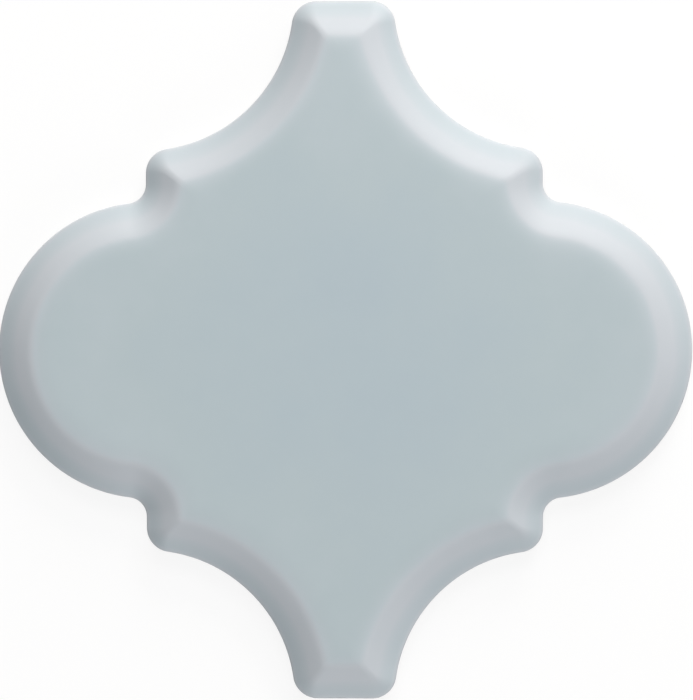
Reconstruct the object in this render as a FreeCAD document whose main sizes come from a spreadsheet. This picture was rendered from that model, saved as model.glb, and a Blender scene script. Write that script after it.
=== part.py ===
"""Arabesque wall tile, pressed in one piece and glazed, in millimetres.

The plan is the lantern outline: a round lobe at each side and a flat tip at the
top and bottom, joined by hollow flanks and short upright shoulders. Lobes and
flanks share one radius, so that a lobe nests between its neighbours' flanks.
A cushion bevel runs inside the whole outline, and the back has shallow slots
that key it into the adhesive.

One quarter, half the right lobe and half the upper tip, is modelled and then
mirrored. The back lies on z = 0, the glazed face looks up, the tips lie along Y.
"""
import FreeCAD, Part
import math
import os
import Sketcher

NODE = "arabesque_tile"

SIZES = [
    ("arc_radius", 31.9, "lobes and hollow flanks"),
    ("tip_width", 21.5, "tip, between the flanks' circles"),
    ("step_height", 11.2, "shoulder, between the lobe's and the flank's circles"),
    ("corner_radius", 5.3, "outer corner of a shoulder"),
    ("notch_radius", 4.2, "inner corner, from shoulder to lobe"),
    ("tip_radius", 5.3, "corner of a tip"),
    ("thickness", 8.5, "back to glazed field"),
    ("edge_height", 5.2, "back to the foot of the bevel"),
    ("bevel_width", 7.2, "outline to crease, in plan"),
    ("crease_radius", 7.0, "crease between bevel and field"),
    ("arris_radius", 0.7, "arris between upright edge and bevel"),
    ("foot_chamfer", 0.5, "around the back"),
    ("key_rim", 6.0, "plain rim around the key slots"),
    ("key_slot_width", 6.0, "key slot"),
    ("key_rib_width", 3.0, "rib between two key slots"),
    ("key_depth", 0.8, "key slot"),
    ("cutter_margin", 2.0, "bevel's cutting section beyond the slab"),
]

# A rounding between an arc and a line through the arc's centre has its own
# centre sqrt(arc^2 + 2 arc r) away along that line. A short shoulder limits
# both of its roundings alike. A turn is the angle that a rounding takes.
WORKED_OUT = [
    ("half_length", "=2 * arc_radius + step_height"),
    ("centre_x", "=arc_radius + tip_width / 2"),
    ("shoulder_room", "=min(1; step_height / (corner_radius + notch_radius))"),
    ("corner", "=corner_radius * shoulder_room"),
    ("notch", "=notch_radius * shoulder_room"),
    ("notch_y", "=sqrt(arc_radius ^ 2 + 2 * arc_radius * notch)"),
    ("corner_y", "=half_length - sqrt(arc_radius ^ 2 + 2 * arc_radius * corner)"),
    ("tip_x", "=centre_x - sqrt(arc_radius ^ 2 + 2 * arc_radius * tip_radius)"),
    ("notch_turn", "=acos(notch / (arc_radius + notch))"),
    ("corner_turn", "=acos(corner / (arc_radius + corner))"),
    ("tip_turn", "=asin(tip_radius / (arc_radius + tip_radius))"),
    ("bevel_angle", "=atan((thickness - edge_height) / bevel_width)"),
    ("key_pitch", "=key_slot_width + key_rib_width"),
]

# How a sketch numbers the points of a line or arc, and its own axes and origin.
START, END, CENTRE = range(1, 4)
X_AXIS, Y_AXIS = range(-1, -3, -1)
ORIGIN = (X_AXIS, START)

# Two heights closer than this are the same.
NEAR = 1e-4

doc = FreeCAD.newDocument(NODE)
sheet = doc.addObject("Spreadsheet::Sheet", "sizes")


def fill_sheet():
    """One row for each size, then one for each value worked out from them."""
    rows = [(name, str(value), note) for name, value, note in SIZES]
    rows += [(name, formula, "worked out") for name, formula in WORKED_OUT]
    for row, (name, content, note) in enumerate(rows, start=1):
        sheet.set(f"A{row}", name)
        sheet.set(f"B{row}", content)
        sheet.set(f"C{row}", note)
        sheet.setAlias(f"B{row}", name)
    doc.recompute()


def worth(formula):
    """What a formula of the sheet's cells comes to, with angles in radians."""
    quantity = FreeCAD.Units.Quantity(sheet.evalExpression(formula))
    if quantity.Unit == FreeCAD.Units.Angle:
        return math.radians(quantity.Value)
    return quantity.Value


def size(name):
    return worth(f"sizes.{name}")


def origin_plane(body, role):
    return next(plane for plane in body.Origin.OriginFeatures if plane.Role == role)


def new_sketch(body, name, role):
    sketch = body.newObject("Sketcher::SketchObject", name)
    sketch.AttachmentSupport = [(origin_plane(body, role), "")]
    sketch.MapMode = "FlatFace"
    return sketch


def line(sketch, start, end):
    segment = Part.LineSegment(FreeCAD.Vector(*start, 0), FreeCAD.Vector(*end, 0))
    return sketch.addGeometry(segment, False)


def arc(sketch, centre, radius, start, end):
    circle = Part.Circle(FreeCAD.Vector(*centre, 0), FreeCAD.Vector(0, 0, 1), radius)
    return sketch.addGeometry(Part.ArcOfCircle(circle, start, end), False)


def relate(sketch, kind, *elements):
    sketch.addConstraint(Sketcher.Constraint(kind, *elements))


def dimension(sketch, name, formula, kind, *elements):
    """A named dimension of a sketch, bound to a formula of the sheet's cells."""
    index = sketch.addConstraint(Sketcher.Constraint(kind, *elements, worth(formula)))
    sketch.renameConstraint(index, name)
    sketch.setExpression(f"Constraints.{name}", formula)


def draw_quarter_outline(body):
    """A quarter of the lantern, from the lobe's side round to the tip's middle."""
    sketch = new_sketch(body, "quarter_outline", "XY_Plane")
    radius, middle, top = size("arc_radius"), size("centre_x"), size("half_length")
    notch_r, corner_r, tip_r = size("notch"), size("corner"), size("tip_radius")
    notch_y, corner_y, tip_x = size("notch_y"), size("corner_y"), size("tip_x")
    notch_turn, corner_turn = size("notch_turn"), size("corner_turn")
    tip_turn = size("tip_turn")
    back, up = math.pi, math.pi / 2

    base = line(sketch, (0, 0), (middle + radius, 0))
    lobe = arc(sketch, (middle, 0), radius, 0, notch_turn)
    notch = arc(sketch, (middle + notch_r, notch_y), notch_r, back, back + notch_turn)
    step = line(sketch, (middle, notch_y), (middle, corner_y))
    corner = arc(sketch, (middle - corner_r, corner_y), corner_r, 0, corner_turn)
    flank = arc(sketch, (middle, top), radius, back + tip_turn, back + corner_turn)
    tip_corner = arc(sketch, (tip_x, top - tip_r), tip_r, tip_turn, up)
    tip = line(sketch, (tip_x, top), (0, top))
    spine = line(sketch, (0, top), (0, 0))

    relate(sketch, "Coincident", base, START, *ORIGIN)
    relate(sketch, "Coincident", base, END, lobe, START)
    relate(sketch, "Tangent", lobe, END, notch, END)
    relate(sketch, "Tangent", notch, START, step, START)
    relate(sketch, "Tangent", step, END, corner, START)
    relate(sketch, "Tangent", corner, END, flank, END)
    relate(sketch, "Tangent", flank, START, tip_corner, START)
    relate(sketch, "Tangent", tip_corner, END, tip, START)
    relate(sketch, "Coincident", tip, END, spine, START)
    relate(sketch, "Coincident", spine, END, base, START)
    for level in (base, tip):
        relate(sketch, "Horizontal", level)
    for upright in (step, spine):
        relate(sketch, "Vertical", upright)
    relate(sketch, "PointOnObject", lobe, CENTRE, X_AXIS)
    relate(sketch, "PointOnObject", lobe, CENTRE, step)
    relate(sketch, "PointOnObject", flank, CENTRE, step)
    relate(sketch, "PointOnObject", flank, CENTRE, tip)
    relate(sketch, "Equal", lobe, flank)

    dimension(sketch, "lobe_radius", "sizes.arc_radius", "Radius", lobe)
    dimension(sketch, "notch_radius", "sizes.notch", "Radius", notch)
    dimension(sketch, "corner_radius", "sizes.corner", "Radius", corner)
    dimension(sketch, "tip_radius", "sizes.tip_radius", "Radius", tip_corner)
    dimension(sketch, "lobe_centre", "sizes.centre_x", "DistanceX", *ORIGIN, lobe, CENTRE)
    dimension(sketch, "half_length", "sizes.half_length", "DistanceY", *ORIGIN, spine, START)
    return sketch


def stand_sketch(body, name, place):
    """An upright sketch at a place of the plan: formulas for x, y and turn about Z."""
    x, y, turn = place
    sketch = new_sketch(body, name, "XZ_Plane")
    plan_normal = FreeCAD.Vector(0, 1, 0)
    sketch.AttachmentOffset = FreeCAD.Placement(
        FreeCAD.Vector(0, 0, 0), FreeCAD.Rotation(plan_normal, math.degrees(worth(turn)))
    )
    sketch.setExpression("AttachmentOffset.Base.x", x)
    sketch.setExpression("AttachmentOffset.Base.z", f"-({y})")
    sketch.setExpression("AttachmentOffset.Rotation.Angle", turn)
    return sketch


def draw_bevel_section(body, name, place, outline, inward, to_axis=False):
    """What the bevel takes off the slab, in a section square to the outline.

    The outline crosses the section at the named distance from its upright axis,
    and the tile lies inward: +1 away from the axis, -1 towards it. The slope
    starts at the outline, at the edge's height, and an arc takes it level with
    the field. Inside a round corner the section ends at the axis, where that
    comes first.
    """
    sketch = stand_sketch(body, name, place)
    edge, top, margin = size(outline), size("thickness"), size("cutter_margin")
    angle, curve = size("bevel_angle"), size("crease_radius")
    level_depth = size("bevel_width") + curve * math.tan(angle / 2)
    slope_depth = level_depth - curve * math.sin(angle)
    last_depth = min(edge, level_depth) if to_axis else level_depth

    def on_slope(depth):
        return edge + inward * depth, size("edge_height") + depth * math.tan(angle)

    foot = on_slope(-margin)
    slope = line(sketch, foot, on_slope(min(slope_depth, last_depth)))
    if last_depth > slope_depth:
        up = math.pi / 2
        lean = math.asin((level_depth - last_depth) / curve)
        turns = sorted([up + inward * lean, up + inward * angle])
        inner = arc(sketch, (edge + inward * level_depth, top - curve), curve, *turns)
        inner_end, slope_end = (START, END) if inward > 0 else (END, START)
        relate(sketch, "Tangent", slope, END, inner, slope_end)
        dimension(sketch, "crease_radius", "sizes.crease_radius", "Radius", inner)
        dimension(
            sketch, "crease_centre", "sizes.thickness - sizes.crease_radius",
            "DistanceY", *ORIGIN, inner, CENTRE,
        )
    else:
        inner, inner_end = slope, END
    if last_depth < level_depth:
        relate(sketch, "PointOnObject", inner, inner_end, Y_AXIS)
    else:
        relate(sketch, "Vertical", inner, CENTRE, inner, inner_end)

    inner_point = sketch.getPoint(inner, inner_end)
    above = top + margin
    inner_wall = line(sketch, (inner_point.x, inner_point.y), (inner_point.x, above))
    lid = line(sketch, (inner_point.x, above), (foot[0], above))
    outer_wall = line(sketch, (foot[0], above), foot)
    relate(sketch, "Coincident", inner, inner_end, inner_wall, START)
    relate(sketch, "Coincident", inner_wall, END, lid, START)
    relate(sketch, "Coincident", lid, END, outer_wall, START)
    relate(sketch, "Coincident", outer_wall, END, slope, START)
    relate(sketch, "Vertical", inner_wall)
    relate(sketch, "Horizontal", lid)
    relate(sketch, "Vertical", outer_wall)

    dimension(
        sketch, "foot_x", f"sizes.{outline} - ({inward}) * sizes.cutter_margin",
        "DistanceX", *ORIGIN, slope, START,
    )
    dimension(
        sketch, "foot_z", "sizes.edge_height - sizes.cutter_margin * tan(sizes.bevel_angle)",
        "DistanceY", *ORIGIN, slope, START,
    )
    dimension(
        sketch, "lid_z", "sizes.thickness + sizes.cutter_margin",
        "DistanceY", *ORIGIN, lid, START,
    )
    slant = "sizes.bevel_angle" if inward > 0 else "180 deg - sizes.bevel_angle"
    dimension(sketch, "slant", slant, "Angle", slope)
    return sketch


def turn_bevel(body, name, centre, start, turn, radius, inward, to_axis=False):
    """The bevel along an arc of the outline, turned about the arc's centre."""
    place = (*centre, start)
    section = draw_bevel_section(body, f"{name}_section", place, radius, inward, to_axis)
    groove = body.newObject("PartDesign::Groove", f"{name}_bevel")
    groove.Profile = section
    groove.ReferenceAxis = (section, ["V_Axis"])
    groove.setExpression("Angle", turn)


def run_bevel(body, name, place, length, outline):
    """The bevel along a straight stretch of the outline."""
    section = draw_bevel_section(body, f"{name}_section", place, outline, -1)
    pocket = body.newObject("PartDesign::Pocket", f"{name}_bevel")
    pocket.Profile = section
    pocket.setExpression("Length", length)


def cut_bevel(body):
    """Seven stretches, each ending where the next starts, mitred at the corners."""
    turn_bevel(
        body, "lobe", ("sizes.centre_x", "0"), "0 deg", "sizes.notch_turn",
        "arc_radius", -1,
    )
    turn_bevel(
        body, "notch", ("sizes.centre_x + sizes.notch", "sizes.notch_y"), "180 deg",
        "sizes.notch_turn", "notch", 1,
    )
    run_bevel(
        body, "step", ("0", "sizes.notch_y", "0 deg"), "sizes.corner_y - sizes.notch_y",
        "centre_x",
    )
    turn_bevel(
        body, "corner", ("sizes.centre_x - sizes.corner", "sizes.corner_y"), "0 deg",
        "sizes.corner_turn", "corner", -1, to_axis=True,
    )
    turn_bevel(
        body, "flank", ("sizes.centre_x", "sizes.half_length"), "180 deg + sizes.tip_turn",
        "sizes.corner_turn - sizes.tip_turn", "arc_radius", 1,
    )
    turn_bevel(
        body, "tip_corner", ("sizes.tip_x", "sizes.half_length - sizes.tip_radius"),
        "sizes.tip_turn", "90 deg - sizes.tip_turn", "tip_radius", -1, to_axis=True,
    )
    run_bevel(body, "tip", ("sizes.tip_x", "0", "90 deg"), "sizes.tip_x", "half_length")
    doc.recompute()


def rim_edges(shape, height):
    """Names of the edges that follow the outline at one height."""
    names = []
    for number, edge in enumerate(shape.Edges, start=1):
        box = edge.BoundBox
        level = abs(box.ZMin - height) < NEAR and abs(box.ZMax - height) < NEAR
        on_mirror_plane = box.XMax < NEAR or box.YMax < NEAR
        if level and not on_mirror_plane:
            names.append(f"Edge{number}")
    return names


def soften_edges(body):
    """A round arris above the upright edge, and a small chamfer around the back."""
    bevelled = body.Tip
    arris = body.newObject("PartDesign::Fillet", "arris")
    arris.Base = (bevelled, rim_edges(bevelled.Shape, size("edge_height")))
    arris.setExpression("Radius", "sizes.arris_radius")
    doc.recompute()
    foot = body.newObject("PartDesign::Chamfer", "foot")
    foot.Base = (arris, rim_edges(arris.Shape, 0))
    foot.setExpression("Size", "sizes.foot_chamfer")
    doc.recompute()


def slot_end(near, far):
    """Formula for half the length of the key slot between two x, given as formulas.

    Under a flank the rim is kept from the flank's circle and from the tip's end.
    Past the shoulder it is kept from the lobe's circle.
    """
    if worth(far) < worth("sizes.centre_x - sizes.key_rim"):
        hollow = f"(sizes.arc_radius + sizes.key_rim) ^ 2 - (sizes.centre_x - {far}) ^ 2"
        return f"sizes.half_length - max(sizes.key_rim; sqrt(max(0; {hollow})))"
    aside = f"max(abs({near} - sizes.centre_x); abs({far} - sizes.centre_x))"
    return f"sqrt(max(0; (sizes.arc_radius - sizes.key_rim) ^ 2 - {aside} ^ 2))"


def draw_key_slot(sketch, number, near, far, end):
    """A rectangle from the X axis up to the slot's end."""
    left, right, top = worth(near), worth(far), worth(end)
    corners = [(left, 0), (right, 0), (right, top), (left, top)]
    sides = [line(sketch, *pair) for pair in zip(corners, corners[1:] + corners[:1])]
    for side, following in zip(sides, sides[1:] + sides[:1]):
        relate(sketch, "Coincident", side, END, following, START)
    for level in sides[0::2]:
        relate(sketch, "Horizontal", level)
    for upright in sides[1::2]:
        relate(sketch, "Vertical", upright)
    relate(sketch, "PointOnObject", sides[0], START, X_AXIS)
    dimension(sketch, f"near_{number}", near, "DistanceX", *ORIGIN, sides[0], START)
    dimension(sketch, f"far_{number}", far, "DistanceX", *ORIGIN, sides[0], END)
    dimension(sketch, f"end_{number}", end, "DistanceY", *ORIGIN, sides[2], START)


def cut_key_slots(body):
    """Parallel slots along Y in the back, on both sides of a rib on the tile's middle."""
    sketch = new_sketch(body, "key_slots", "XY_Plane")
    number = 0
    while True:
        near = f"(sizes.key_rib_width / 2 + {number} * sizes.key_pitch)"
        far = f"({near} + sizes.key_slot_width)"
        end = slot_end(near, far)
        if worth(end) < size("key_slot_width") / 2:
            break
        draw_key_slot(sketch, number, near, far, end)
        number += 1
    keys = body.newObject("PartDesign::Pocket", "keys")
    keys.Profile = sketch
    keys.Reversed = True
    keys.setExpression("Length", "sizes.key_depth")
    doc.recompute()


def mirror(body, name, role):
    mirrored = body.newObject("PartDesign::Mirrored", name)
    mirrored.TransformMode = "Whole shape"
    mirrored.MirrorPlane = (origin_plane(body, role), [""])
    body.Tip = mirrored
    doc.recompute()


def make_tile():
    body = doc.addObject("PartDesign::Body", NODE)
    body.Label = NODE
    slab = body.newObject("PartDesign::Pad", "slab")
    slab.Profile = draw_quarter_outline(body)
    slab.setExpression("Length", "sizes.thickness")
    cut_bevel(body)
    soften_edges(body)
    cut_key_slots(body)
    mirror(body, "right_half", "XZ_Plane")
    mirror(body, "whole", "YZ_Plane")
    return body


def check(body):
    """Stops on a failed object, an invalid shape or a cut that took nothing off."""
    for item in doc.Objects:
        if {"Invalid", "Error"} & set(item.State):
            raise RuntimeError(f"{item.Name} failed: {item.State}")
    cuts = ("PartDesign::Groove", "PartDesign::Pocket", "PartDesign::Fillet", "PartDesign::Chamfer")
    for item in body.Group:
        if item.TypeId in cuts and item.Shape.Volume >= item.BaseFeature.Shape.Volume:
            raise RuntimeError(f"{item.Name} takes nothing off")
    if body.Shape.isNull() or not body.Shape.isValid() or len(body.Shape.Solids) != 1:
        raise RuntimeError(f"{body.Label} is not one valid solid")


fill_sheet()
tile = make_tile()
check(tile)
os.makedirs("parts", exist_ok=True)
tile.Shape.exportStep(f"parts/{tile.Label}.step")
print(tile.Label, tile.Shape.Volume, tile.Shape.optimalBoundingBox())
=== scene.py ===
"""The glazed arabesque tile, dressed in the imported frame.

One closed surface stands for the tile: a section of the edge and bevel is carried
round the lantern outline, rings fill the field, and the keyed back closes it.
Every length is in metres, worked out from the frame's box and a few sizes in mm.
"""

import math

import bpy
import numpy as np
from mathutils import Euler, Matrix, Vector
from mathutils.geometry import delaunay_2d_cdt


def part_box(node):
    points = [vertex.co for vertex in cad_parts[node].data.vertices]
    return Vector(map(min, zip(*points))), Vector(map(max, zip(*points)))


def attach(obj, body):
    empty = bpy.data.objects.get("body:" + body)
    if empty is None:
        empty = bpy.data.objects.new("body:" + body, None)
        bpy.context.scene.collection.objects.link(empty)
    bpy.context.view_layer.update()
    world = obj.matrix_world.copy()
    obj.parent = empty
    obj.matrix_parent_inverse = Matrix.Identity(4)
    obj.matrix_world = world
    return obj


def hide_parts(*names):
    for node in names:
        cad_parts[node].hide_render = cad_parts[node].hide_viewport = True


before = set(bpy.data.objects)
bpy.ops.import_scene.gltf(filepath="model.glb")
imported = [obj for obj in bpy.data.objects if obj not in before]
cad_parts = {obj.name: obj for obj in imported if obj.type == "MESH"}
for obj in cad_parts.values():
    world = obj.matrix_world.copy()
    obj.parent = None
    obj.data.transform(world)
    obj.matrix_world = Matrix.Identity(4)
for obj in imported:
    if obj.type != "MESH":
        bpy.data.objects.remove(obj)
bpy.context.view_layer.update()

MM = 0.001
NODE = "arabesque_tile"
BODY = "root"

# Plan of the tile: the frame's box, and the radii that the box doesn't give.
_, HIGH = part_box(NODE)
HALF_WIDTH, HALF_LENGTH, THICKNESS = HIGH.x, HIGH.y, HIGH.z
ARC_RADIUS = 31.9 * MM
NOTCH_RADIUS = 4.2 * MM
CORNER_RADIUS = 5.3 * MM
TIP_RADIUS = 5.3 * MM

# Centres of the lobe's, flank's and notch's circles. The notch's touches the lobe's from
# outside, and the lobe turns through this angle to reach it.
LOBE_X = HALF_WIDTH - ARC_RADIUS
FLANK_CENTRE = np.array([LOBE_X, HALF_LENGTH])
NOTCH_Y = math.sqrt(ARC_RADIUS ** 2 + 2 * ARC_RADIUS * NOTCH_RADIUS)
NOTCH_CENTRE = np.array([LOBE_X + NOTCH_RADIUS, NOTCH_Y])
NOTCH_TURN = math.acos(NOTCH_RADIUS / (ARC_RADIUS + NOTCH_RADIUS))

# Ridges run over the bevel from the outer corners in: the radius that they level out at and
# the ease into it, the share of that ridge's curvature that is no ridge yet, and the points
# along the outline that a ridge is softened over.
RIDGE_RADIUS = 1.3 * MM
RIDGE_EASE = 0.45 * MM
RIDGE_LEAST = 0.2
RIDGE_SOFT_POINTS = 15

# Section of the edge and bevel.
EDGE_HEIGHT = 5.2 * MM
ARRIS_RADIUS = 0.5 * MM
CREASE_START = 5.8 * MM
CREASE_END = 8.8 * MM
FIELD_START = 13.2 * MM
FIELD_SWELL = 0.37
BEVEL_SWELL = 0.35
FOOT_RADIUS = 0.5 * MM

# The glaze ends part of the way down the edge, in a rolled lip. Its line wanders up and
# down by a sum of sines, each with a whole number of periods round the tile.
GLAZE_LIP = 0.16 * MM
GLAZE_LIP_HEIGHT = 0.45 * MM
GLAZE_LINE = 1.7 * MM
GLAZE_LINE_WANDER = 0.2 * MM
GLAZE_LINE_SINES = 12
FEWEST_PERIODS, MOST_PERIODS = 3, 39
GLAZE_LINE_SEED = 7

# How thick the glaze lies, as shares of its full thickness: on the upright edge, on the
# slope, and in the field, where it pools towards the middle.
WALL_GLAZE = 1.0
WALL_DROP = 1.2 * MM
SLOPE_GLAZE = 0.3
FIELD_EDGE_GLAZE = 0.54
FIELD_GLAZE = 0.78
POOL_START = 8.0 * MM
POOL_END = 58.0 * MM

# What the glaze loses where it breaks over the arris, the crease and the ridges.
ARRIS_BREAK = 0.3
ARRIS_BREAK_WIDTH = 0.8 * MM
CREASE_BREAK = 0.5
CREASE_BREAK_AT = 6.1 * MM
CREASE_BREAK_WIDTH = 2.7 * MM
RIDGE_BREAK = 0.7

# The keyed back.
KEY_RIM = 6.0 * MM
KEY_SLOT_WIDTH = 6.0 * MM
KEY_RIB_WIDTH = 3.0 * MM
KEY_DEPTH = 0.8 * MM
KEY_DRAFT = 0.15 * MM
KEY_CORNER = 1.0 * MM
KEY_ROUND = 0.3 * MM

# Points along a quarter of the outline, for each of its stretches.
LOBE_POINTS = 56
NOTCH_POINTS = 26
CORNER_POINTS = 30
FLANK_POINTS = 56
TIP_POINTS = 30

# Rows up the section and over the field, and the fine steps that the bevel is summed in.
ARC_ROWS = 7
WALL_ROWS = 4
BEVEL_ROWS = 46
FIELD_RINGS = 13
FINE_STEPS = 2000


def fade(value, start, end):
    """1 before start, 0 past end, and a smooth cubic between them."""
    share = np.clip((value - start) / (end - start), 0, 1)
    return 1 - share * share * (3 - 2 * share)


def between(start, end, count):
    """Evenly spaced values from start to end, with both ends left out."""
    return np.linspace(start, end, count + 2)[1:-1]


def flat(x, y):
    """Points of a plan, from x and y spread to one shape."""
    return np.stack(np.broadcast_arrays(x, y), axis=-1)


def polar(centre, radius, angle):
    """Points of a plan at a radius and angle from a centre."""
    return flat(centre[0] + radius * np.cos(angle), centre[1] + radius * np.sin(angle))


def raised(plan, height):
    """Points of a plan lifted to a height."""
    level = np.broadcast_to(height, plan.shape[:-1])
    return np.concatenate([plan, level[..., None]], axis=-1)


def chain(first, first_length, second, second_length, share):
    """A point a share of the way along two stretches, each a function of its own share."""
    travelled = share * (first_length + second_length)
    tiny = 1e-12
    on_first = np.clip(travelled / np.maximum(first_length, tiny), 0, 1)
    on_second = np.clip((travelled - first_length) / np.maximum(second_length, tiny), 0, 1)
    past = (travelled >= first_length)[..., None]
    return np.where(past, second(on_second), first(on_first))


def eased_radius(radius, depth):
    """A round corner's radius that far inside the outline: it shrinks with the depth,
    and levels out at the ridge's own radius by a smooth maximum."""
    spare = (radius - depth - RIDGE_RADIUS) / RIDGE_EASE
    return RIDGE_RADIUS + RIDGE_EASE * np.logaddexp(0, spare)


def shoulder_corner(depth):
    """The shoulder's outer corner, set in by a depth: its centre and radius, the angles at
    which it starts and ends, and half the length of the shoulder's line below it.

    It rounds the flank's circle into the shoulder's line. Further in, where that line has run
    out, it rounds it into the notch's circle, and its centre is where two circles cross.
    """
    radius = eased_radius(CORNER_RADIUS, depth)
    reach = depth + radius
    x = LOBE_X - reach
    y = HALF_LENGTH - np.sqrt(ARC_RADIUS ** 2 + 2 * ARC_RADIUS * reach)
    apart = NOTCH_CENTRE - FLANK_CENTRE
    span = np.linalg.norm(apart)
    along = apart / span
    aside = np.array([along[1], -along[0]])
    from_flank = ARC_RADIUS + reach
    from_notch = NOTCH_RADIUS + reach
    down = (from_flank ** 2 - from_notch ** 2 + span ** 2) / (2 * span)
    out = np.sqrt(np.maximum(0, from_flank ** 2 - down ** 2))
    past_line = y < NOTCH_Y
    x = np.where(past_line, FLANK_CENTRE[0] + down * along[0] + out * aside[0], x)
    y = np.where(past_line, FLANK_CENTRE[1] + down * along[1] + out * aside[1], y)
    toward_notch = np.arctan2(NOTCH_CENTRE[1] - y, NOTCH_CENTRE[0] - x)
    start = np.where(past_line, toward_notch, 0)
    end = np.arctan2(FLANK_CENTRE[1] - y, FLANK_CENTRE[0] - x)
    half_line = np.where(past_line, 0, (y - NOTCH_Y) / 2)
    return (x, y), radius, start, end, half_line


def tip_corner(depth):
    """The tip's corner, set in by a depth: its centre and radius, and the angle at which it
    starts. It rounds the flank's circle into the tip's line. Further in, where that line has
    run out, its centre is on the middle line and it touches both flanks' circles."""
    radius = eased_radius(TIP_RADIUS, depth)
    reach = depth + radius
    x = LOBE_X - np.sqrt(ARC_RADIUS ** 2 + 2 * ARC_RADIUS * reach)
    meeting = HALF_LENGTH - np.sqrt(np.maximum(0, (ARC_RADIUS + reach) ** 2 - LOBE_X ** 2))
    y = np.where(x < 0, meeting, HALF_LENGTH - reach)
    x = np.maximum(x, 0)
    start = np.arctan2(HALF_LENGTH - y, LOBE_X - x)
    return (x, y), radius, start


def quarter(depths):
    """The upper right quarter of the outline, set in by each depth: an array of rows, which
    run from the lobe's side through the notch, the shoulder and the flank to the tip.

    The lobe's, notch's and flank's circles keep their centres while their radii change by
    the depth.
    """
    depth = np.asarray(depths)[:, None]
    corner_centre, corner_radius, corner_start, corner_end, half_line = shoulder_corner(depth)
    tip_centre, tip_radius, tip_start = tip_corner(depth)

    def notch_arc(share):
        angle = math.pi + NOTCH_TURN + (corner_start - NOTCH_TURN) * share
        return polar(NOTCH_CENTRE, NOTCH_RADIUS + depth, angle)

    def lower_shoulder(share):
        return flat(LOBE_X - depth, NOTCH_Y + half_line * share)

    def upper_shoulder(share):
        return flat(LOBE_X - depth, NOTCH_Y + half_line * (1 + share))

    def corner_arc(share):
        return polar(corner_centre, corner_radius, corner_start + (corner_end - corner_start) * share)

    def tip_arc(share):
        return polar(tip_centre, tip_radius, tip_start + (math.pi / 2 - tip_start) * share)

    def tip_line(share):
        return flat(tip_centre[0] * (1 - share), HALF_LENGTH - depth)

    def shares(count):
        return np.linspace(0, 1, count, endpoint=False)

    lobe = polar((LOBE_X, 0), ARC_RADIUS - depth, NOTCH_TURN * shares(LOBE_POINTS))
    notch = chain(
        notch_arc, (NOTCH_RADIUS + depth) * (NOTCH_TURN - corner_start),
        lower_shoulder, half_line, shares(NOTCH_POINTS),
    )
    corner = chain(
        upper_shoulder, half_line,
        corner_arc, corner_radius * (corner_end - corner_start), shares(CORNER_POINTS),
    )
    flank_turn = corner_end + (tip_start - corner_end) * shares(FLANK_POINTS)
    flank = polar(FLANK_CENTRE, ARC_RADIUS + depth, math.pi + flank_turn)
    to_middle = np.linspace(0, 1, TIP_POINTS + 1)
    tip = chain(tip_arc, tip_radius * (math.pi / 2 - tip_start), tip_line, tip_centre[0], to_middle)
    return np.concatenate([lobe, notch, corner, flank, tip], axis=1)


def outline(depths):
    """The whole outline, set in by each depth: the quarter and its mirror images,
    anticlockwise from the right lobe's side, with no point twice in a row."""
    first = quarter(depths)
    second = (first * [-1, 1])[:, ::-1]
    return np.concatenate([first[:, :-1], second[:, :-1], -first[:, :-1], -second[:, :-1]], axis=1)


def bevel_height(depths):
    """Height of the glazed face by the depth inside the outline: the slope is steepest
    at the edge, fades out over the crease and ends as a faint swell of the field, and
    its sum from the field outwards comes down to the edge's height."""
    fine = np.linspace(0, FIELD_START, FINE_STEPS)
    bulge = 1 + BEVEL_SWELL * (1 - fine / CREASE_START)
    crease = (1 - FIELD_SWELL) * fade(fine, CREASE_START, CREASE_END)
    swell = FIELD_SWELL * fade(fine, CREASE_START, FIELD_START)
    slope = np.maximum(bulge, 1 - BEVEL_SWELL) * (crease + swell)
    fallen = np.cumsum(slope[::-1])[::-1]
    fallen = fallen - fallen[-1]
    height = THICKNESS - (THICKNESS - EDGE_HEIGHT) * fallen / fallen[0]
    return np.interp(depths, fine, height)


def section():
    """Depths and heights from the back's edge up to the field, how much the glaze line
    moves each row, how far each row lies past the arris, and the first glazed row.

    The rows run up the foot, the bare edge, the rolled lip, the glazed edge, the arris and
    the bevel. The arris is an arc tangent to the upright edge and to the bevel at the edge.
    """
    step = FIELD_START / FINE_STEPS
    slope = math.atan((bevel_height(step) - bevel_height(0)) / step)
    reach = ARRIS_RADIUS * math.tan((math.pi / 2 - slope) / 2)
    arris_foot = EDGE_HEIGHT - reach
    lip_top = GLAZE_LINE + GLAZE_LIP_HEIGHT
    turn = np.linspace(0, math.pi / 2, ARC_ROWS)
    lean = np.linspace(0, math.pi / 2 - slope, ARC_ROWS)
    bevel_depth = np.linspace(reach * math.cos(slope), FIELD_START, BEVEL_ROWS)[1:]

    # Each stretch has its depths, its heights and its share of the glaze line's wander.
    foot = (GLAZE_LIP + FOOT_RADIUS * (1 - np.sin(turn)), FOOT_RADIUS * (1 - np.cos(turn)), 0)
    bare = (GLAZE_LIP, between(FOOT_RADIUS, GLAZE_LINE, WALL_ROWS), between(0, 1, WALL_ROWS))
    lip = (GLAZE_LIP * (1 - np.sin(turn)), GLAZE_LINE + GLAZE_LIP_HEIGHT * (1 - np.cos(turn)), 1)
    glazed = (0, between(lip_top, arris_foot, WALL_ROWS), between(1, 0, WALL_ROWS))
    arris = (ARRIS_RADIUS * (1 - np.cos(lean)), arris_foot + ARRIS_RADIUS * np.sin(lean), 0)
    bevel = (bevel_depth, bevel_height(bevel_depth), 0)
    stretches = [np.broadcast_arrays(*part) for part in (foot, bare, lip, glazed, arris, bevel)]
    depths, heights, wander = np.concatenate(stretches, axis=1)

    first_glazed = ARC_ROWS + WALL_ROWS
    arris_middle = first_glazed + ARC_ROWS + WALL_ROWS + ARC_ROWS // 2
    run = np.concatenate([[0], np.cumsum(np.hypot(np.diff(depths), np.diff(heights)))])
    return depths, heights, wander, run - run[arris_middle], first_glazed


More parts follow.
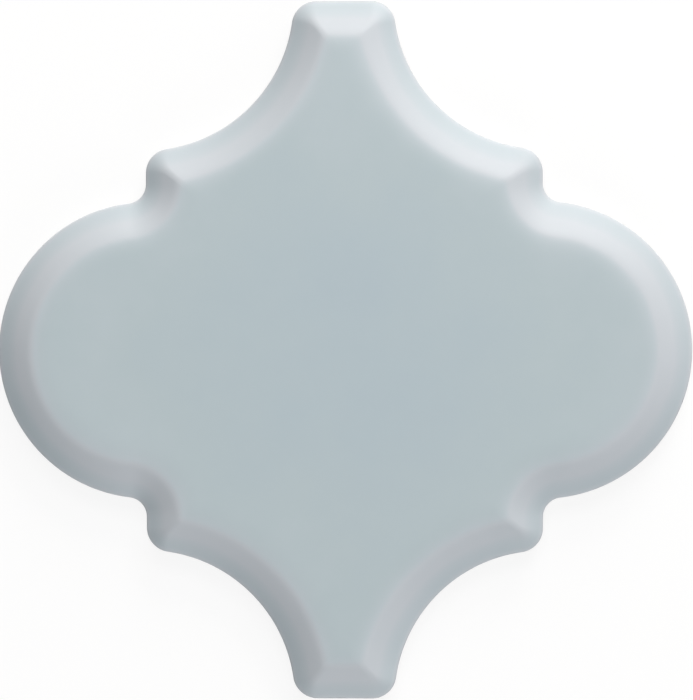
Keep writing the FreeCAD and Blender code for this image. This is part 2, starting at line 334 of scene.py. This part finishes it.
def glaze_line(plan):
    """How far the glaze's line lies above its mean at each point round the outline: a sum of
    sines of the way along it, the smaller the more periods they have."""
    steps = np.linalg.norm(np.roll(plan, -1, axis=0) - plan, axis=1)
    along = np.concatenate([[0], np.cumsum(steps)[:-1]])
    draw = np.random.default_rng(GLAZE_LINE_SEED)
    periods = draw.integers(FEWEST_PERIODS, MOST_PERIODS + 1, GLAZE_LINE_SINES)
    phases = draw.uniform(0, 2 * math.pi, GLAZE_LINE_SINES)
    sizes = 1 / np.sqrt(periods)
    angle = 2 * math.pi * along[:, None] / steps.sum() * periods + phases
    return GLAZE_LINE_WANDER * (sizes * np.sin(angle)).sum(axis=1) / np.sqrt((sizes ** 2).sum())


def ridge_share(plan):
    """How far each point lies on a ridge, from 0 to 1: the outline's turn at the point
    over its step gives the curvature, measured against the ridge's own radius."""
    before = plan - np.roll(plan, 1, axis=1)
    after = np.roll(plan, -1, axis=1) - plan
    cross = before[..., 0] * after[..., 1] - before[..., 1] * after[..., 0]
    turn = np.arctan2(cross, (before * after).sum(axis=-1))
    step = (np.linalg.norm(before, axis=-1) + np.linalg.norm(after, axis=-1)) / 2
    sharp = np.clip((turn / step * RIDGE_RADIUS - RIDGE_LEAST) / (1 - RIDGE_LEAST), 0, 1)
    weights = np.hanning(RIDGE_SOFT_POINTS)
    weights /= weights.sum()
    half = RIDGE_SOFT_POINTS // 2
    return sum(weight * np.roll(sharp, shift - half, axis=1) for shift, weight in enumerate(weights))


def glaze_thickness(depth, past_arris, plan, ridge):
    """Share of the full glaze: it breaks thin over the arris, the crease and the ridges,
    runs thin on the slope between them, pools in the middle of the field, and gathers
    thickest on the upright edge below the arris."""
    pool = fade(np.linalg.norm(plan, axis=-1), POOL_START, POOL_END)
    field = FIELD_EDGE_GLAZE + (FIELD_GLAZE - FIELD_EDGE_GLAZE) * pool
    on_slope = fade(depth, CREASE_START, CREASE_END)
    pooled = field + (SLOPE_GLAZE - field) * on_slope
    pooled = pooled + (WALL_GLAZE - pooled) * fade(past_arris, -WALL_DROP, 0)
    arris = ARRIS_BREAK * np.exp(-(past_arris / ARRIS_BREAK_WIDTH) ** 2)
    crease = CREASE_BREAK * np.exp(-((depth - CREASE_BREAK_AT) / CREASE_BREAK_WIDTH) ** 2)
    return np.clip((pooled - arris - crease) * (1 - RIDGE_BREAK * ridge * on_slope), 0, 1)


def tile_skin():
    """The edge, bevel and field: rows of points round the outline, from the back's edge up the
    section and then shrinking over the flat field to a pole in its middle.

    Gives the points, the share of glaze at each, the points in a row and the first glazed row.
    """
    depths, heights, wander, past_arris, first_glazed = section()
    plan = outline(depths)
    bevel = raised(plan, heights[:, None] + wander[:, None] * glaze_line(plan[0]))
    field_plan = between(1, 0, FIELD_RINGS)[:, None, None] * plan[-1]
    field = raised(field_plan, THICKNESS)
    points = np.concatenate([bevel.reshape(-1, 3), field.reshape(-1, 3), [[0, 0, THICKNESS]]])
    on_bevel = glaze_thickness(depths[:, None], past_arris[:, None], plan, ridge_share(plan))
    in_field = glaze_thickness(FIELD_START, past_arris[-1], field_plan, 0)
    glaze = np.concatenate([on_bevel.ravel(), in_field.ravel(), [FIELD_GLAZE]])
    return points, glaze, plan.shape[1], first_glazed


def key_slots():
    """The key slots as (x of one side, x of the other, half length), left and right alike:
    the rim is kept from the flank's circle or, past the shoulder, from the lobe's."""
    slots = []
    near = KEY_RIB_WIDTH / 2
    while True:
        far = near + KEY_SLOT_WIDTH
        if far < LOBE_X - KEY_RIM:
            hollow = (ARC_RADIUS + KEY_RIM) ** 2 - (LOBE_X - far) ** 2
            end = HALF_LENGTH - max(KEY_RIM, math.sqrt(max(0, hollow)))
        else:
            aside = max(abs(near - LOBE_X), abs(far - LOBE_X))
            end = math.sqrt(max(0, (ARC_RADIUS - KEY_RIM) ** 2 - aside ** 2))
        if end < KEY_SLOT_WIDTH / 2:
            return slots
        slots += [(near, far, end), (-far, -near, end)]
        near = far + KEY_RIB_WIDTH


def slot_section():
    """Insets and heights up a slot's wall: a quarter round from the land into the wall,
    a slight draft, and a quarter round from the wall into the slot's floor."""
    turn = np.linspace(0, math.pi / 2, ARC_ROWS)
    mouth = (KEY_ROUND * (np.sin(turn) - 1), KEY_ROUND * (1 - np.cos(turn)))
    foot = (KEY_DRAFT + KEY_ROUND * (1 - np.cos(turn)), KEY_DEPTH - KEY_ROUND * (1 - np.sin(turn)))
    return np.concatenate([mouth, foot], axis=1)


def slot_wall(near, far, end):
    """A slot's wall: its outline with round corners, anticlockwise, at each inset and
    height of its section, as rows of points."""
    insets, heights = slot_section()[..., None]
    turn = np.linspace(0, math.pi / 2, ARC_ROWS)
    middle = (near + far) / 2
    across = (far - near) / 2 - KEY_CORNER
    up = end - KEY_CORNER
    corners = ((1, 1), (-1, 1), (-1, -1), (1, -1))
    plan = np.concatenate([
        polar((middle + side * across, way * up), KEY_CORNER - insets, turn + number * math.pi / 2)
        for number, (side, way) in enumerate(corners)
    ], axis=1)
    return raised(plan, heights)


def ring_faces(rows, columns, first=0):
    """Quads between neighbouring rows of a closed grid, facing outwards."""
    row, column = np.meshgrid(np.arange(rows - 1), np.arange(columns), indexing="ij")
    here = first + row * columns + column
    right = first + row * columns + (column + 1) % columns
    return np.stack([here, right, right + columns, here + columns], axis=-1).reshape(-1, 4)


def back_land(points, loops):
    """The flat of the back, facing down, from the numbers of the points round its edge and
    then round each slot's mouth: triangles inside the edge, less those whose corners all lie
    on one mouth. The loops don't touch, so the triangles keep the order of their points."""
    numbers = np.concatenate(loops)
    sizes = [len(loop) for loop in loops]
    rings = np.split(np.arange(len(numbers)), np.cumsum(sizes)[:-1])
    edges = np.concatenate([np.column_stack([ring, np.roll(ring, -1)]) for ring in rings])
    corners = points[numbers, :2] / MM
    inside_edges, merge_distance = 1, 1e-6
    found = delaunay_2d_cdt(corners.tolist(), edges.tolist(), [], inside_edges, merge_distance)
    triangles = np.array(found[2])
    loop_of = np.repeat(np.arange(len(loops)), sizes)[triangles]
    in_slot = (loop_of[:, 0] > 0) & (loop_of == loop_of[:, :1]).all(axis=1)
    return numbers[triangles[~in_slot]][:, ::-1]


def tile_surface():
    """The whole tile, closed: the skin's quads and the fan round its pole, then the slots'
    walls, the back's land and the slots' floors.

    Gives the points, the faces, 1 for each bare face and 0 for each glazed one, whether each
    face is smooth, and the share of glaze at each point.
    """
    skin, skin_glaze, columns, first_glazed = tile_skin()
    pole = len(skin) - 1
    quads = ring_faces(pole // columns, columns)
    last = pole - columns + np.arange(columns)
    fan = np.stack([last, np.roll(last, -1), np.full(columns, pole)], axis=-1)

    pieces, count = [skin], len(skin)
    loops = [np.arange(columns)]
    walls, floors = [], []
    for slot in key_slots():
        wall = slot_wall(*slot)
        rows, size = wall.shape[:2]
        pieces.append(wall.reshape(-1, 3))
        walls.append(ring_faces(rows, size, count)[:, ::-1])
        loops.append(count + np.arange(size))
        count += rows * size
        floors.append((count - size + np.arange(size))[::-1].tolist())
    walls = np.concatenate(walls)
    points = np.concatenate(pieces)
    land = back_land(points, loops)

    faces = [*quads.tolist(), *fan.tolist(), *walls.tolist(), *land.tolist(), *floors]
    bare = np.ones(len(faces), dtype=np.int32)
    bare[first_glazed * columns:len(quads) + len(fan)] = 0
    smooth = np.zeros(len(faces), dtype=bool)
    smooth[:len(quads) + len(fan) + len(walls)] = True
    glaze = np.zeros(count)
    glaze[:len(skin)] = skin_glaze
    return points, faces, bare, smooth, glaze


def make_tile():
    """The tile as one object, with its two finishes and the glaze's thickness on its points."""
    points, faces, bare, smooth, glaze = tile_surface()
    mesh = bpy.data.meshes.new("glazed_tile")
    mesh.from_pydata(points.tolist(), [], faces)
    mesh.polygons.foreach_set("material_index", bare)
    mesh.polygons.foreach_set("use_smooth", smooth)
    mesh.attributes.new("glaze_thickness", "FLOAT", "POINT").data.foreach_set("value", glaze)
    mesh.materials.append(satin_glaze())
    mesh.materials.append(biscuit())
    mesh.update()
    tile = bpy.data.objects.new("glazed_tile", mesh)
    bpy.context.scene.collection.objects.link(tile)
    return tile


def linear(code):
    """A colour written as sRGB hex, as linear red, green, blue and full opacity."""
    parts = [int(code[i:i + 2], 16) / 255 for i in (1, 3, 5)]
    return (*[p / 12.92 if p <= 0.04045 else ((p + 0.055) / 1.055) ** 2.4 for p in parts], 1)


def add(tree, kind, values=None, links=None, **settings):
    """Adds a node with its settings, its sockets' values and its links from other sockets."""
    node = tree.nodes.new(kind)
    for name, value in settings.items():
        setattr(node, name, value)
    for name, value in (values or {}).items():
        node.inputs[name].default_value = value
    for name, source in (links or {}).items():
        tree.links.new(source, node.inputs[name])
    return node


def seen_directly(tree):
    """1 for what the camera sees straight on, mirrored or through something, else 0."""
    sight = add(tree, "ShaderNodeLightPath").outputs
    mirrored = add(
        tree, "ShaderNodeMath", links={0: sight["Is Camera Ray"], 1: sight["Is Glossy Ray"]},
        operation="MAXIMUM",
    ).outputs["Value"]
    return add(
        tree, "ShaderNodeMath", links={0: mirrored, 1: sight["Is Transmission Ray"]},
        operation="MAXIMUM",
    ).outputs["Value"]


def new_material(name):
    """An empty material and its node tree."""
    material = bpy.data.materials.new(name)
    material.use_nodes = True
    material.node_tree.nodes.clear()
    return material, material.node_tree


# The glaze's colour by its thickness, as a share of the full one.
GLAZE_TONES = (
    (0.0, "#C5CBD1"), (0.25, "#BDC7CD"), (0.6, "#B0BEC3"),
    (0.78, "#ACBBC2"), (0.86, "#AAB9C1"), (1.0, "#9FB0B8"),
)

# Broad clouds in which a sprayed glaze lies thicker and thinner: their size and detail, the
# noise's range, how far they move the share of glaze, and how far they lift the surface.
GLAZE_CLOUD = 16.0 * MM
GLAZE_CLOUD_DETAIL = 3.0
GLAZE_CLOUD_LOW, GLAZE_CLOUD_HIGH = 0.3, 0.7
GLAZE_DRIFT = 0.06
GLAZE_CLOUD_RISE = 0.012 * MM

# The fine peel of the fired surface.
GLAZE_PEEL = 3.2 * MM
GLAZE_PEEL_DETAIL = 1.0
GLAZE_PEEL_RISE = 0.003 * MM

GLAZE_IOR = 1.52
THIN_ROUGHNESS = 0.4
FULL_ROUGHNESS = 0.34


def satin_glaze():
    """Satin opaque glaze on earthenware, sprayed and fired: a soft even gloss, deeper blue
    where the glaze pools and paler, greyer where it breaks thin over an edge."""
    material, tree = new_material("satin_glaze")
    place = add(tree, "ShaderNodeTexCoord").outputs["Object"]
    thickness = add(tree, "ShaderNodeAttribute", attribute_name="glaze_thickness").outputs["Fac"]
    cloud = add(
        tree, "ShaderNodeTexNoise", {"Scale": 1 / GLAZE_CLOUD, "Detail": GLAZE_CLOUD_DETAIL},
        {"Vector": place},
    ).outputs["Fac"]
    drift = add(
        tree, "ShaderNodeMapRange",
        {
            "From Min": GLAZE_CLOUD_LOW, "From Max": GLAZE_CLOUD_HIGH,
            "To Min": -GLAZE_DRIFT, "To Max": GLAZE_DRIFT,
        },
        {"Value": cloud},
    ).outputs["Result"]
    share = add(
        tree, "ShaderNodeMath", links={0: thickness, 1: drift}, operation="ADD", use_clamp=True
    ).outputs["Value"]
    tone = add(tree, "ShaderNodeValToRGB", links={"Fac": share})
    stops = tone.color_ramp.elements
    for position, _ in GLAZE_TONES[1:-1]:
        stops.new(position)
    for stop, (_, code) in zip(stops, GLAZE_TONES):
        stop.color = linear(code)
    gloss = add(
        tree, "ShaderNodeMapRange", {"To Min": THIN_ROUGHNESS, "To Max": FULL_ROUGHNESS}, {"Value": share}
    ).outputs["Result"]
    peel = add(
        tree, "ShaderNodeTexNoise", {"Scale": 1 / GLAZE_PEEL, "Detail": GLAZE_PEEL_DETAIL},
        {"Vector": place},
    ).outputs["Fac"]
    swell = add(
        tree, "ShaderNodeBump", {"Strength": 1.0, "Distance": GLAZE_CLOUD_RISE}, {"Height": cloud}
    ).outputs["Normal"]
    relief = add(
        tree, "ShaderNodeBump", {"Strength": 1.0, "Distance": GLAZE_PEEL_RISE},
        {"Height": peel, "Normal": swell},
    ).outputs["Normal"]
    shader = add(
        tree, "ShaderNodeBsdfPrincipled", {"IOR": GLAZE_IOR},
        {"Base Color": tone.outputs["Color"], "Roughness": gloss, "Normal": relief},
    )
    add(tree, "ShaderNodeOutputMaterial", links={"Surface": shader.outputs["BSDF"]})
    return material


# The bare clay's blotches and its grain. Pressed dust has a grain of about 0.3 mm, too fine to
# show in the picture, so it is drawn coarser, with specks where its noise is highest.
CLAY_DARK = "#BDB09C"
CLAY_PALE = "#C9BDAB"
CLAY_SPECK = "#97836B"
CLAY_BLOTCH = 9.0 * MM
CLAY_BLOTCH_DETAIL = 5.0
CLAY_BLOTCH_ROUGHNESS = 0.6
CLAY_GRAIN = 0.7 * MM
CLAY_GRAIN_DETAIL = 3.0
CLAY_GRAIN_RISE = 0.05 * MM
CLAY_SPECK_START, CLAY_SPECK_END = 0.66, 0.74
CLAY_SPECK_SHARE = 0.35
CLAY_ROUGHNESS = 0.88
CLAY_IOR = 1.5

# Sockets of a Mix node that mixes colours: its factor, its two colours and its result.
MIX_FACTOR, MIX_FIRST, MIX_SECOND, MIX_RESULT = 0, 6, 7, 2


def biscuit():
    """Dust pressed earthenware, fired with no glaze on it: buff, chalky and dull, with
    faint blotches and a fine grain of darker specks."""
    material, tree = new_material("earthenware_biscuit")
    place = add(tree, "ShaderNodeTexCoord").outputs["Object"]
    blotch = add(
        tree, "ShaderNodeTexNoise",
        {"Scale": 1 / CLAY_BLOTCH, "Detail": CLAY_BLOTCH_DETAIL, "Roughness": CLAY_BLOTCH_ROUGHNESS},
        {"Vector": place},
    ).outputs["Fac"]
    grain = add(
        tree, "ShaderNodeTexNoise", {"Scale": 1 / CLAY_GRAIN, "Detail": CLAY_GRAIN_DETAIL},
        {"Vector": place},
    ).outputs["Fac"]
    clay = add(
        tree, "ShaderNodeMix", {MIX_FIRST: linear(CLAY_DARK), MIX_SECOND: linear(CLAY_PALE)},
        {MIX_FACTOR: blotch}, data_type="RGBA",
    ).outputs[MIX_RESULT]
    speck = add(
        tree, "ShaderNodeMapRange",
        {"From Min": CLAY_SPECK_START, "From Max": CLAY_SPECK_END, "To Max": CLAY_SPECK_SHARE},
        {"Value": grain},
    ).outputs["Result"]
    colour = add(
        tree, "ShaderNodeMix", {MIX_SECOND: linear(CLAY_SPECK)}, {MIX_FACTOR: speck, MIX_FIRST: clay},
        data_type="RGBA",
    ).outputs[MIX_RESULT]
    relief = add(
        tree, "ShaderNodeBump", {"Strength": 1.0, "Distance": CLAY_GRAIN_RISE}, {"Height": grain}
    ).outputs["Normal"]
    shader = add(
        tree, "ShaderNodeBsdfPrincipled", {"Roughness": CLAY_ROUGHNESS, "IOR": CLAY_IOR},
        {"Base Color": colour, "Normal": relief},
    )
    add(tree, "ShaderNodeOutputMaterial", links={"Surface": shader.outputs["BSDF"]})
    return material


WHITE = "#FFFFFF"
WARM_WHITE = "#FFFAF4"

# The floor: the tone by which it throws light back at the tile and, where it is seen, its own
# glow and the tone that the lamps and the tile's shadow add to that.
FLOOR_BOUNCE = "#B4B4B4"
FLOOR_SHADE = "#6C6C6C"
FLOOR_GLOW = 0.86
FLOOR_HALF = 3.0
FLOOR_GAP = 0.02 * MM


def floor_paint():
    """Matt white: its own glow for the camera stands for most of the light on it, and the
    rest is lit, so that the tile still throws a faint shadow."""
    material, tree = new_material("white_floor")
    matt = add(tree, "ShaderNodeBsdfDiffuse", {"Color": linear(FLOOR_BOUNCE)})
    dim = add(tree, "ShaderNodeBsdfDiffuse", {"Color": linear(FLOOR_SHADE)})
    glow = add(tree, "ShaderNodeEmission", {"Color": linear(WHITE), "Strength": FLOOR_GLOW})
    lit = add(tree, "ShaderNodeAddShader", links={0: dim.outputs["BSDF"], 1: glow.outputs["Emission"]})
    floor = add(
        tree, "ShaderNodeMixShader",
        links={0: seen_directly(tree), 1: matt.outputs["BSDF"], 2: lit.outputs["Shader"]},
    )
    add(tree, "ShaderNodeOutputMaterial", links={"Surface": floor.outputs["Shader"]})
    return material


def make_floor():
    """A square floor, a hair below the tile's back."""
    half, level = FLOOR_HALF, -FLOOR_GAP
    corners = [(-half, -half, level), (half, -half, level), (half, half, level), (-half, half, level)]
    mesh = bpy.data.meshes.new("floor")
    mesh.from_pydata(corners, [], [(0, 1, 2, 3)])
    mesh.materials.append(floor_paint())
    floor = bpy.data.objects.new("floor", mesh)
    bpy.context.scene.collection.objects.link(floor)


# Softboxes round the tile: name, azimuth from +X and elevation in degrees, watts, colour,
# and whether the glaze mirrors it. The low ones stay out of the glaze, which would be lost
# in their glare when seen from the far side.
LAMPS = (
    ("head_low", 75, 15, 27.0, WARM_WHITE, False),
    ("foot_low", 290, 15, 10.2, WHITE, False),
    ("head_right", 60, 40, 5.0, WHITE, True),
    ("head_high", 90, 55, 7.8, WHITE, True),
    ("foot", 265, 30, 3.1, WHITE, True),
    ("overhead", 90, 89, 3.6, WHITE, True),
)
LAMP_DISTANCE = 1.6
LAMP_SIZE = 0.8


def softbox(name, azimuth, elevation, power, colour, mirrored):
    """A square area lamp that faces the tile."""
    lamp = bpy.data.lights.new(name, "AREA")
    lamp.color = linear(colour)[:3]
    lamp.size = LAMP_SIZE
    lamp.energy = power
    a, e = math.radians(azimuth), math.radians(elevation)
    toward = Vector((math.cos(a) * math.cos(e), math.sin(a) * math.cos(e), math.sin(e)))
    holder = bpy.data.objects.new(name, lamp)
    holder.location = toward * LAMP_DISTANCE
    holder.rotation_euler = toward.to_track_quat("Z", "Y").to_euler()
    holder.visible_glossy = mirrored
    bpy.context.scene.collection.objects.link(holder)


# The room: its fill light, the white that the glaze mirrors and the dimness of its left side.
# The dimness starts and ends where a direction, of length 1, goes this far to the left.
ROOM_FILL = 0.03
ROOM_WHITE = 1.0
ROOM_DIM = 0.1
DIM_START, DIM_END = 0.35, 0.75


def make_room():
    """A white room: white to the camera, white with a dim left side as the glaze mirrors it,
    and a faint fill light."""
    world = bpy.data.worlds.new("studio")
    world.use_nodes = True
    tree = world.node_tree
    tree.nodes.clear()
    direction = add(tree, "ShaderNodeTexCoord").outputs["Generated"]
    rightward = add(tree, "ShaderNodeSeparateXYZ", links={"Vector": direction}).outputs["X"]
    mirrored = add(
        tree, "ShaderNodeMapRange",
        {"From Min": -DIM_END, "From Max": -DIM_START, "To Min": ROOM_DIM, "To Max": ROOM_WHITE},
        {"Value": rightward},
    ).outputs["Result"]
    camera = add(tree, "ShaderNodeLightPath").outputs["Is Camera Ray"]
    seen = add(
        tree, "ShaderNodeMath", links={0: camera, 1: mirrored}, operation="MAXIMUM"
    ).outputs["Value"]
    strength = add(
        tree, "ShaderNodeMapRange", {"To Min": ROOM_FILL}, {"Value": seen_directly(tree), "To Max": seen}
    ).outputs["Result"]
    background = add(tree, "ShaderNodeBackground", {"Color": linear(WHITE)}, {"Strength": strength})
    add(tree, "ShaderNodeOutputWorld", links={"Surface": background.outputs["Background"]})
    bpy.context.scene.world = world


# The camera looks down on the tile, a little from the right and from the head, at a
# point beside the tile's middle. The tile fills the height of the picture, but for 2 pixels.
LENS = 135.0
SENSOR = 36.0
LEAN_RIGHT, LEAN_HEAD, ROLL = 1.95, 0.8, -0.1
AIM = Vector((0.52 * MM, 0.06 * MM, EDGE_HEIGHT))
PICTURE_HEIGHT = 700
TILE_HEIGHT = 698.0


def make_camera():
    """A long lens, as far away as the tile's height in the picture asks."""
    camera = bpy.data.cameras.new("camera")
    camera.lens = LENS
    camera.sensor_width = SENSOR
    holder = bpy.data.objects.new("camera", camera)
    turn = Euler([math.radians(angle) for angle in (-LEAN_HEAD, LEAN_RIGHT, ROLL)])
    distance = 2 * HALF_LENGTH * PICTURE_HEIGHT / TILE_HEIGHT * LENS / SENSOR
    holder.rotation_euler = turn
    holder.location = AIM + turn.to_matrix() @ Vector((0, 0, distance))
    bpy.context.scene.collection.objects.link(holder)
    bpy.context.scene.camera = holder


tile = make_tile()
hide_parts(NODE)
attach(tile, BODY)

make_floor()
make_room()
for lamp in LAMPS:
    softbox(*lamp)
make_camera()
bpy.context.scene.view_settings.view_transform = "Standard"
